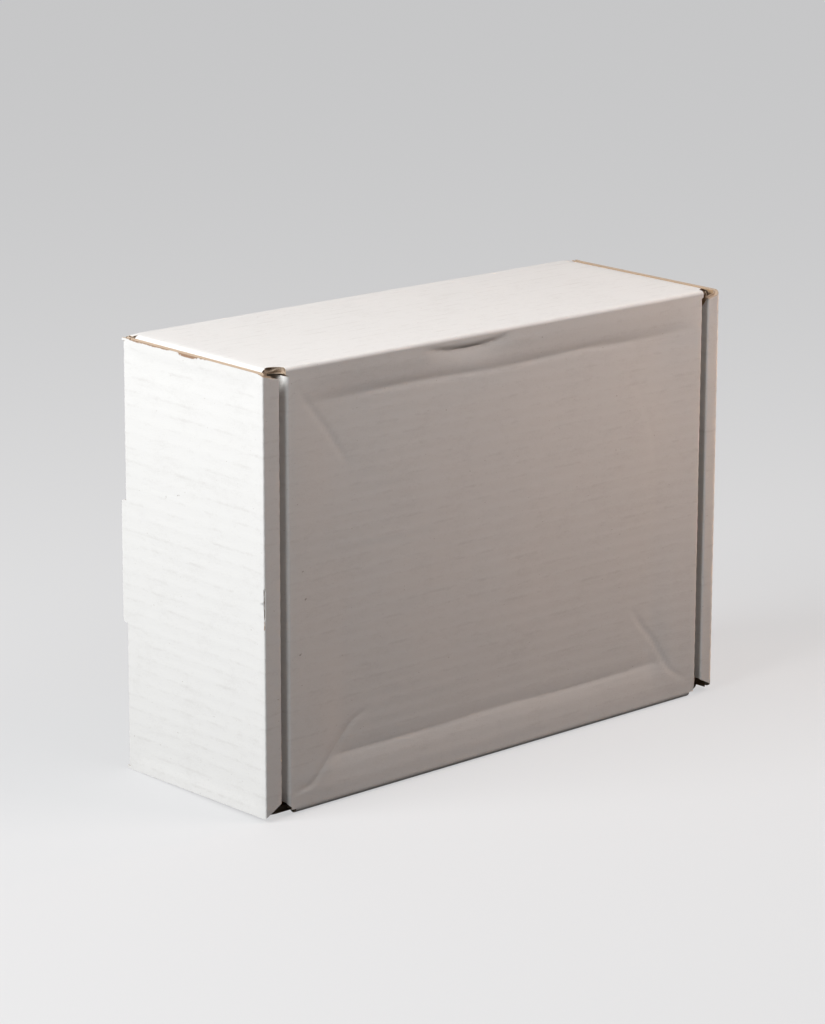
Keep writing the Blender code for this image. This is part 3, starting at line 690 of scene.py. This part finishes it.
def end_panel_lift(flat):
    """The outer end panel bows in a little, and is creased round the lip of the slot."""
    u, v = flat[:, 0], flat[:, 1]
    from_edge = np.minimum(HEIGHT / 2 - abs(u), np.minimum(v, END_BOW_TOP - v))
    bow = END_BOW * smooth(from_edge / END_BOW_EDGE)
    bow += LIP_CREASE_DEPTH * pressed(flat, LIP_CREASE, LIP_CREASE_WIDTH)
    bow += FOLD_SCUFF_DEPTH * pressed(flat, FOLD_SCUFF, FOLD_SCUFF_WIDTH)
    return -bow


def near_end_lift(flat):
    flake = pressed(flat, FLAKE_CREASE, FLAKE_CREASE_WIDTH)
    return end_panel_lift(flat) - FLAKE_CREASE_DEPTH * flake


def near_end_specks_and_shade(flat):
    from_lid = DEPTH - END_FOLD - flat[:, 1]
    below = HEIGHT / 2 - EDGE_INSET_HIGH - flat[:, 0]
    # Painted shade: the brown of bare board in runs under the upper cut edge, where the gap below
    # the top panel's edge is dark. The specks are dirt.
    bare_and_shade = np.max([amount * hump(below, reach * MM)
                   * smooth((from_lid - low * MM) / EDGE_SHADE_RAMP)
                   * smooth((high * MM - from_lid) / EDGE_SHADE_RAMP)
                   for low, high, amount, reach in EDGE_SHADE], axis=0)
    return np.column_stack([bare_and_shade, spots(flat, END_SPECKS)])


END_NET, RIM_NET, INNER_NET, DUST_NET = 3.0 * MM, 1.5 * MM, 10.0 * MM, 15.0 * MM


def end_wall(board, base_place, crease_x, crease_half, side):
    """Outer end panel, rolled rim and inner end panel."""
    rim_fold = RIM_OUTER_FOLD[side]
    low_end, high_end = EDGE_INSET_LOW - HEIGHT / 2, HEIGHT / 2 - EDGE_INSET_HIGH
    start, end = (-crease_x, crease_half), (-crease_x, -crease_half)
    place = board.roll(base_place, start, (-crease_x, SLOT_HIGH), END_FOLD, RIGHT_ANGLE)
    board.roll(base_place, (-crease_x, SLOT_LOW), end, END_FOLD, RIGHT_ANGLE)

    # Outer panel: the lip of the slot and two corner toes stay straight past the crease
    rim_line = DEPTH - END_FOLD - rim_fold
    toe = crease_half + FIT
    lip = -(END_FOLD + LIP)
    points = outline(
        (low_end, -END_FOLD), (-toe, -END_FOLD), (-toe, 0), (-crease_half, 0),
        (SLOT_LOW, 0), (SLOT_LOW, lip, LIP_CORNER), (SLOT_HIGH, lip, LIP_CORNER), (SLOT_HIGH, 0),
        (crease_half, 0), (toe, 0), (toe, -END_FOLD), (high_end, -END_FOLD),
        (high_end, rim_line), (low_end, rim_line))
    # The near end also gets painted shade in runs under its upper edge
    worn = {"lift": near_end_lift, "wear_and_shade": near_end_specks_and_shade} if side < 0 else {"lift": end_panel_lift}
    board.panel(place, points, [
        ((-crease_half, 0), (SLOT_LOW, 0), END_FOLD, RIGHT_ANGLE),
        ((SLOT_HIGH, 0), (crease_half, 0), END_FOLD, RIGHT_ANGLE),
        ((high_end, rim_line), (low_end, rim_line), rim_fold, RIGHT_ANGLE)],
        along_flutes=END_NET, **worn)

    # Rim: its two ends are cut on the slant
    flat = RIM_WIDTH - rim_fold - RIM_INNER_FOLD
    run = [rim_fold * RIGHT_ANGLE, flat, RIM_INNER_FOLD * RIGHT_ANGLE]
    low = [RIM_CHAMFER_LOW * part / sum(run) for part in run]
    high = [RIM_CHAMFER_HIGH * part / sum(run) for part in run]
    worn = {"lift": tear_lift, "wear_and_shade": tear_wear} if side < 0 else {}
    place = board.roll(place, (high_end, rim_line), (low_end, rim_line), rim_fold, RIGHT_ANGLE,
                       (high[0], low[0]), **worn)
    near = [(low_end + low[0], 0), (high_end - high[0], 0)]
    far = [(high_end - high[0] - high[1], flat), (low_end + low[0] + low[1], flat)]
    board.panel(place, outline(*near, *far), [
        (*near, rim_fold, RIGHT_ANGLE), (*far, RIM_INNER_FOLD, RIGHT_ANGLE)],
        along_flutes=RIM_NET, reach=flat / 2)
    place = board.roll(place, *far, RIM_INNER_FOLD, RIGHT_ANGLE, (high[2], low[2]))

    # Inner panel: it stands on the base, and its tab goes down through the slot
    foot = DEPTH - RIM_INNER_FOLD - BOARD - FIT
    tab = DEPTH - RIM_INNER_FOLD - FIT
    bottom, top = low_end + RIM_CHAMFER_LOW, high_end - RIM_CHAMFER_HIGH
    tab_low, tab_high = SLOT_LOW + TAB_PLAY, SLOT_HIGH - TAB_PLAY
    points = outline(
        (bottom, 0), (top, 0), (top - INNER_DROP, INNER_SLOPE), (top - INNER_DROP, foot),
        (tab_high, foot), (tab_high, tab, TAB_CORNER), (tab_low, tab, TAB_CORNER), (tab_low, foot),
        (bottom, foot))
    board.panel(place, points, [((bottom, 0), (top, 0), RIM_INNER_FOLD, RIGHT_ANGLE)],
                along_flutes=INNER_NET)


def dust_flap(board, panel_place, crease_start, crease_end):
    """One dust flap, folded in behind the end panel from the front or the back panel."""
    place = board.roll(panel_place, crease_start, crease_end, DUST_FOLD, RIGHT_ANGLE)
    along = (Vector(crease_end) - Vector(crease_start)).normalized()
    near, far = sorted(-Vector(p).dot(along) for p in (crease_start, crease_end))
    points = outline(
        (near, 0), (far, 0),
        (far - DUST_TAPER, DUST_FLAP, DUST_CORNER), (near + DUST_TAPER, DUST_FLAP, DUST_CORNER))
    board.panel(place, points, [((near, 0), (far, 0), DUST_FOLD, RIGHT_ANGLE)],
                along_flutes=DUST_NET)


def side_panel(board, base_place, start, end, dust_depth, near_edge, along_flutes, **extra):
    """Front or back panel; near_edge is the +u half of its edge by the lid.

    Returns its place, and the crease of the dust flap at its right end.
    """
    place = board.roll(base_place, start, end, BASE_FOLD, RIGHT_ANGLE, along_flutes=along_flutes)
    half = abs(start[0])
    dust_line = DUST_PLANE - DUST_FOLD
    dust_start, dust_end = (dust_line, DUST_END_GAP), (dust_line, dust_depth)
    right = [(half, 0), (half, DUST_END_GAP / 2), dust_start, dust_end, *near_edge]
    left = [(-u, v) for u, v in reversed(right)]
    creases = [(dust_start, dust_end), ((-dust_line, dust_end[1]), (-dust_line, dust_start[1]))]
    board.panel(place, outline(*right, *left), [
        ((-half, 0), (half, 0), BASE_FOLD, RIGHT_ANGLE),
        *[(*crease, DUST_FOLD, RIGHT_ANGLE) for crease in creases]],
        along_flutes=along_flutes, **extra)
    return place, max(creases, key=lambda crease: place.at(np.array([crease[0]]), [0])[0, 0])


BASE_NET, BACK_NET, FRONT_NET = 20.0 * MM, 3.5 * MM, 12.0 * MM
tray = Board(settle_panels)
base_place = Place(
    Matrix.Translation((0, BASE_FACE, HEIGHT / 2)) @ Matrix(
        ((-1, 0, 0, 0), (0, 0, 1, 0), (0, 1, 0, 0), (0, 0, 0, 1))),
    ((1, 0, 0), (0, 1, 0)))
flat_top = HEIGHT / 2 - BASE_FOLD
crease_x = LENGTH / 2 - END_FOLD
crease_half = flat_top - FIT
fold_half = DUST_PLANE - FIT / 2
slot_x = LENGTH / 2 - RIM_WIDTH - FIT
left = [(-crease_x, crease_half), (-crease_x, SLOT_HIGH), (-slot_x, SLOT_HIGH),
        (-slot_x, SLOT_LOW), (-crease_x, SLOT_LOW), (-crease_x, -crease_half)]
right = [(-u, v) for u, v in reversed(left)]
top_crease = [(fold_half, flat_top), (-fold_half, flat_top)]
bottom_crease = [(-fold_half, -flat_top), (fold_half, -flat_top)]
tray.panel(base_place, outline(*bottom_crease, *right, *top_crease, *left), [
    (*bottom_crease, BASE_FOLD, RIGHT_ANGLE), (*right[:2], END_FOLD, RIGHT_ANGLE),
    (*right[4:], END_FOLD, RIGHT_ANGLE), (*top_crease, BASE_FOLD, RIGHT_ANGLE),
    (*left[:2], END_FOLD, RIGHT_ANGLE), (*left[4:], END_FOLD, RIGHT_ANGLE)], along_flutes=BASE_NET)

# Back panel, on top: the lid's crease runs between two round corner notches
lid_line = DEPTH - BASE_FOLD - LID_FOLD
notch = []
for step in range(1, NOTCH_STEPS + 1):
    share = (1 - cos(pi * step / NOTCH_STEPS)) / 2
    out = NOTCH_START + (LID_FOLD - NOTCH_START) * share
    notch.append((DUST_PLANE - DUST_FOLD - NOTCH_WIDTH * share,
                  DEPTH - BASE_FOLD - out - NOTCH_DEPTH * sin(pi * step / NOTCH_STEPS)))
lid_crease_half = DUST_PLANE - DUST_FOLD - NOTCH_WIDTH
lid_crease = [(lid_crease_half, lid_line), (-lid_crease_half, lid_line)]
back_place, back_dust = side_panel(
    tray, base_place, *top_crease, DEPTH - BASE_FOLD - NOTCH_START, notch, BACK_NET,
    capped=[lid_crease])

# Front panel, underneath: its edge by the lid is cut, and lies behind the lid's lower fold
cut_line = DEPTH - BASE_FOLD - FRONT_SETBACK
front_place, front_dust = side_panel(
    tray, base_place, *bottom_crease, cut_line - FRONT_CORNER_DROP,
    [(DUST_PLANE - DUST_FOLD - FRONT_CORNER_CUT, cut_line)], FRONT_NET)

# The two ends. They fold up last, over the dust flaps
for side in (-1, 1):
    tray.side = side
    tray.settle = settle_end_wall
    end_wall(tray, base_place, crease_x, crease_half, side)
    tray.settle = settle_panels
    dust_flap(tray, back_place, *back_dust)
    dust_flap(tray, front_place, *front_dust)
tray_board = tray.finish("tray_board", "tray")
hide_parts("tray")

# ---- Lid: the panel that hangs from the back panel's crease, with an ear at each end and a tuck
# flap that steps up over the front panel's edge. It is the same board. Packing has pressed it in
# between two long creases, and dented it just under its top edge.
LID_GAP, LID_FOOT = 3.4 * MM, 0.5 * MM
EAR_FOLD, TUCK_FOLD = 1.9 * MM, 2.4 * MM
EAR_DEPTH, EAR_CORNER, EAR_HEEL = 38.0 * MM, 24.0 * MM, 6.0 * MM
EAR_TOP_INSET, EAR_FOOT, EAR_FOOT_SLANT = 3.9 * MM, 4.2 * MM, 2.0 * MM
TUCK_DEPTH, TUCK_CORNER, TUCK_TAPER, TUCK_END_INSET = 45.0 * MM, 18.0 * MM, 6.0 * MM, 4.5 * MM
LID_SHOULDER = 1.5 * MM
SWING_LEAN = radians(0.7)
LID_HALF = LENGTH / 2 - RIM_WIDTH - LID_GAP
LOW_CREASE = LID_FOOT + TUCK_FOLD
LID_NET, TUCK_NET = 1.7 * MM, 5.1 * MM

# Between its creases the face is sunk, but it bellies out in the middle and is a little uneven
SUNK, SUNK_TOP, SUNK_FOOT, SUNK_SIDE = 1.1 * MM, 16 * MM, 19.6 * MM, 32 * MM
SUNK_TOP_CURVE, SUNK_FOOT_CURVE = 2.2, 2
BELLY, BELLY_FOOT = 0.6 * MM, 25 * MM
UNEVEN, UNEVEN_LENGTH = 0.12 * MM, 70 * MM

# Marks on the face: depths and widths, and places as (x, height above the ground) in millimetres
LONG_CREASE, LONG_CREASE_WIDTH, LONG_CREASE_FADE = 0.30 * MM, 1.2 * MM, 22 * MM
LONG_CREASE_TOP, LONG_CREASE_LOW = 70 * MM, 92 * MM
WANDER_TOP, WANDER_LOW, WANDER_LENGTH = 0.9 * MM, 0.6 * MM, 110 * MM
CORNER_CREASE, CORNER_CREASE_WIDTH, CORNER_CREASE_END = 0.42 * MM, 0.8 * MM, 4 * MM
CORNER_CREASES = [
    [(-125, 195), (-118, 186), (-106, 172), (-96, 157)],
    [(-130, 10), (-118, 12), (-106, 24), (-94, 36), (-84, 41)],
    [(86, 53), (94, 43), (102, 34), (112, 18), (124, 10)]]
RING_MARK = [(75, 178), (88, 163), (97, 143), (102, 119)]
RING_DEPTH, RING_WIDTH = 0.07 * MM, 1.5 * MM
LID_SPECKS = [(-126, 118, 0.6), (-122, 112, 0.7), (-125, 106, 0.5), (-121, 99, 0.8),
              (-123, 94, 0.6), (-124, 74, 0.6), (41, 66, 0.5), (-38, 142, 0.4)]
DENT_MIDDLE, DENT_HALF, DENT_DEPTH = -24 * MM, 26 * MM, 1.7 * MM
DENT_TOP, DENT_SAG, DENT_MARGIN = 3.6 * MM, 2.6 * MM, 1.5 * MM
DENT_ABOVE, DENT_BELOW = 0.9 * MM, 4.2 * MM


def on_face(flat):
    """Places on the lid as x and height above the ground."""
    return flat + (0, HEIGHT / 2)


def lid_lift(flat):
    """The lid's face: sunk between its creases, bowed in the middle, dented at the top edge."""
    face = on_face(flat)
    x, z = face.T
    top, foot, side = HEIGHT - LID_FOLD - z, z - LOW_CREASE, LID_HALF - EAR_FOLD - abs(x)
    wander = waver(x, z * 0, WANDER_LENGTH, seed=1.0)
    top_crease_at = SUNK_TOP + WANDER_TOP * wander
    low_crease_at = SUNK_FOOT + WANDER_LOW * wander
    down, up = np.clip(top / top_crease_at, 0, 1), np.clip(foot / low_crease_at, 0, 1)
    across = smooth(side / SUNK_SIDE)
    depth = SUNK * down ** SUNK_TOP_CURVE * up ** SUNK_FOOT_CURVE * across
    for away, half in ((top - top_crease_at, LONG_CREASE_TOP),
                       (foot - low_crease_at, LONG_CREASE_LOW)):
        fade = 1 - smooth((abs(x) - half) / LONG_CREASE_FADE)
        depth += LONG_CREASE * np.exp(-abs(away) / LONG_CREASE_WIDTH) * fade
    for path in CORNER_CREASES:
        depth += (CORNER_CREASE * pressed(face, path, CORNER_CREASE_WIDTH)
                  * np.clip(side / CORNER_CREASE_END, 0, 1))
    depth += RING_DEPTH * pressed(face, RING_MARK, RING_WIDTH)
    belly = np.sin(pi * np.clip(top / (HEIGHT - BELLY_FOOT), 0, 1) * across)
    depth -= BELLY * belly * down * up * across
    bell = np.clip(1 - ((x - DENT_MIDDLE) / DENT_HALF) ** 2, 0, 1)
    below = HEIGHT - DENT_TOP - DENT_SAG * bell - z
    dent = np.where(below < 0, hump(below, DENT_ABOVE), np.exp(-abs(below) / DENT_BELOW))
    depth += DENT_DEPTH * bell ** 1.2 * dent * np.clip(top / DENT_MARGIN, 0, 1)
    depth += UNEVEN * (1 + waver(x, z, UNEVEN_LENGTH, seed=3.0)) * down * up * across
    return -np.maximum(depth, 0)


def lid_wear(flat):
    soil = spots(on_face(flat), LID_SPECKS)
    return np.column_stack([soil * 0, soil])


lid = Board(lean, washboard=1.6)
sheet_turn = (flat_top + BASE_FOLD * RIGHT_ANGLE + lid_line + LID_FOLD * RIGHT_ANGLE
              + HEIGHT / 2 - LID_FOLD)
lid_place = Place(
    Matrix.Translation((0, LID_FACE, HEIGHT / 2)) @ Matrix(
        ((1, 0, 0, 0), (0, 0, -1, 0), (0, 1, 0, 0), (0, 0, 0, 1))),
    ((-1, 0, 0), (0, -1, sheet_turn)))
ear_line = LID_HALF - EAR_FOLD
hinge_line = HEIGHT / 2 - LID_FOLD
tuck_half = LID_HALF - TUCK_END_INSET
ear_foot, ear_top = (ear_line, EAR_FOOT - HEIGHT / 2), (ear_line, HEIGHT / 2 - EAR_TOP_INSET)
right = [(tuck_half, LOW_CREASE - HEIGHT / 2), (ear_line, LOW_CREASE - HEIGHT / 2),
         ear_foot, ear_top,
         (lid_crease_half, hinge_line - LID_SHOULDER), (lid_crease_half, hinge_line)]
left = [(-u, v) for u, v in reversed(right)]

# The tuck flap: round under the lid, up over the front panel's edge, then back to a slight lean
tuck_lean = asin((TUCK_DEPTH / 2 + FRONT_SETBACK) / (HEIGHT - BOARD)) + SWING_LEAN
over, up = FRONT_SETBACK - TUCK_FOLD, BOARD + 2 * FIT - LOW_CREASE
rise = sqrt(over ** 2 + up ** 2 - TUCK_FOLD ** 2)
climb = atan2(up, over) + atan2(TUCK_FOLD, rise)
turn_up = (TUCK_FOLD, RIGHT_ANGLE + climb)
turn_back = (-INSIDE_RADIUS, tuck_lean - climb)
lid.panel(lid_place, outline(*right, *left), [
    (left[-1], right[0], *turn_up),
    (ear_foot, ear_top, EAR_FOLD, RIGHT_ANGLE),
    (left[2], left[3], EAR_FOLD, RIGHT_ANGLE)],
    along_flutes=LID_NET, lift=lid_lift, wear_and_shade=lid_wear, capped=[(right[-1], left[0])])
rise_place = lid.roll(lid_place, left[-1], right[0], *turn_up, along_flutes=LID_NET)
near, far = [(-tuck_half, 0), (tuck_half, 0)], [(tuck_half, rise), (-tuck_half, rise)]
lid.panel(rise_place, outline(*near, *far), [(*near, *turn_up), (*far, *turn_back)],
          along_flutes=LID_NET)
tuck_place = lid.roll(rise_place, *far, *turn_back, along_flutes=LID_NET)
lid.panel(tuck_place, outline(
    *near, (tuck_half - TUCK_TAPER, TUCK_DEPTH, TUCK_CORNER),
    (-tuck_half + TUCK_TAPER, TUCK_DEPTH, TUCK_CORNER)), [(*near, *turn_back)],
    along_flutes=TUCK_NET)

# The ears, folded in beside the rims
for side in (-1, 1):
    lid.side = side
    ear_place = lid.roll(lid_place, ear_foot, ear_top, EAR_FOLD, RIGHT_ANGLE, (EAR_FOOT_SLANT, 0.0))
    top, foot = -ear_top[1], -ear_foot[1] - EAR_FOOT_SLANT
    lid.panel(ear_place, outline(
        (top, 0), (foot, 0), (foot, EAR_DEPTH, EAR_HEEL), (top, EAR_DEPTH, EAR_CORNER)),
        [((top, 0), (foot, 0), EAR_FOLD, RIGHT_ANGLE)])
lid_board = lid.finish("lid_board", "lid")
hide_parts("lid")

# ---- Lid crease: the quarter turn of board between the back panel and the lid. It is the same
# paper, pressed by the die.
crease = Board(lean)
crease.roll(back_place, *lid_crease, LID_FOLD, RIGHT_ANGLE, along_flutes=LID_NET, capped=True)
crease_board = crease.finish("lid_crease_board", None)
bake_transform(crease_board)

# ---- Floor: a plain pale sweep of board. The camera sees it pale and even, with the box's shadow;
# it is dark to the lamps' light, so that it throws little of it back.
FLOOR_HALF = 40
FLOOR_TO_LAMPS, FLOOR_TO_CAMERA = (0.06, 0.062, 0.065), (0.22, 0.22, 0.22)
FLOOR_GLOW = (0.55, 0.55, 0.555)
floor_corners = [(x * FLOOR_HALF, y * FLOOR_HALF, 0)
                 for x, y in ((-1, -1), (1, -1), (1, 1), (-1, 1))]
floor_data = bpy.data.meshes.new("floor")
floor_data.from_pydata(floor_corners, [], [(0, 1, 2, 3)])
floor_material = bpy.data.materials.new("floor")
floor_material.use_nodes = True
tree = floor_material.node_tree
floor_shader = tree.nodes["Principled BSDF"]
seen = node(tree, "ShaderNodeLightPath").outputs["Is Camera Ray"]
floor_colour = mixed(tree, seen, FLOOR_TO_LAMPS, FLOOR_TO_CAMERA)
tree.links.new(floor_colour, floor_shader.inputs["Base Color"])
floor_glow = mixed(tree, seen, (0, 0, 0), FLOOR_GLOW)
tree.links.new(floor_glow, floor_shader.inputs["Emission Color"])
floor_shader.inputs["Emission Strength"].default_value = 1.0
floor_shader.inputs["Roughness"].default_value = 0.9
floor_shader.inputs["Specular IOR Level"].default_value = 0.0
floor_data.materials.append(floor_material)
floor_object = bpy.data.objects.new("floor", floor_data)
bpy.context.collection.objects.link(floor_object)

# ---- Light: a large, nearly neutral lamp from the left and above, a weaker warm one from the front
# right and above, a faint orange one low at the right end, and a dim even surround.
SURROUND_COLOUR, SURROUND_STRENGTH = (0.93, 0.96, 1.0, 1), 0.06
world = bpy.data.worlds.new("surround")
bpy.context.scene.world = world
world.use_nodes = True
surround = world.node_tree.nodes["Background"]
surround.inputs["Color"].default_value = SURROUND_COLOUR
surround.inputs["Strength"].default_value = SURROUND_STRENGTH


def lamp(name, place, target, size, power, colour, spread=pi):
    """A square soft lamp that looks at a point; spread is the angle that it shines over."""
    data = bpy.data.lights.new(name, "AREA")
    data.size = size
    data.energy = power
    data.color = colour
    data.spread = spread
    made = bpy.data.objects.new(name, data)
    bpy.context.collection.objects.link(made)
    made.location = place
    made.rotation_euler = (Vector(target) - Vector(place)).to_track_quat("-Z", "Y").to_euler()


lamp("key_lamp", (-1.15, 0.10, 0.88), (0, 0, 0.1), 0.9, 25.2, (0.98, 0.99, 1.0))
lamp("front_lamp", (0.33, -0.52, 0.75), (0, 0, 0.1), 0.4, 3.8, (1.0, 0.89, 0.85))
lamp("rim_lamp", (0.60, -0.13, 0.20), (0.145, -0.045, 0.13), 0.12, 0.11, (1.0, 0.58, 0.34),
     spread=radians(50))

# ---- Camera: at the photograph's place, with a small shift for its framing. It is set out from the
# near bottom corner of the box, in heights of the box as it leans.
PHOTO_WIDTH, PHOTO_HEIGHT, SENSOR = 825, 1024, 36
FOCAL_PIXELS, MIDDLE_X, MIDDLE_Y = 3345.4635, 417.1, 506.7
YAW, PITCH, ROLL = radians(42.2463), radians(14.7166), radians(0.2064)
CORNER_IN_VIEW, VIEW_UNIT = (-0.3268, -0.6865, -7.242), HEIGHT - TOP_FALL
camera_data = bpy.data.cameras.new("camera")
camera_data.sensor_width = SENSOR
camera_data.lens = FOCAL_PIXELS * SENSOR / PHOTO_HEIGHT
camera_data.shift_x = -(MIDDLE_X - PHOTO_WIDTH / 2) / PHOTO_HEIGHT
camera_data.shift_y = (MIDDLE_Y - PHOTO_HEIGHT / 2) / PHOTO_HEIGHT
camera_data.clip_start, camera_data.clip_end = 0.05, 100
camera = bpy.data.objects.new("camera", camera_data)
bpy.context.collection.objects.link(camera)
turn = (Matrix.Rotation(-YAW, 3, "Z") @ Matrix.Rotation(RIGHT_ANGLE - PITCH, 3, "X")
        @ Matrix.Rotation(ROLL, 3, "Z"))
near_corner = Vector((-LENGTH / 2, LID_FACE, 0))
camera_place = near_corner - turn @ (Vector(CORNER_IN_VIEW) * VIEW_UNIT)
camera.matrix_world = Matrix.Translation(camera_place) @ turn.to_4x4()
bpy.context.scene.camera = camera
bpy.context.scene.view_settings.view_transform = "Standard"
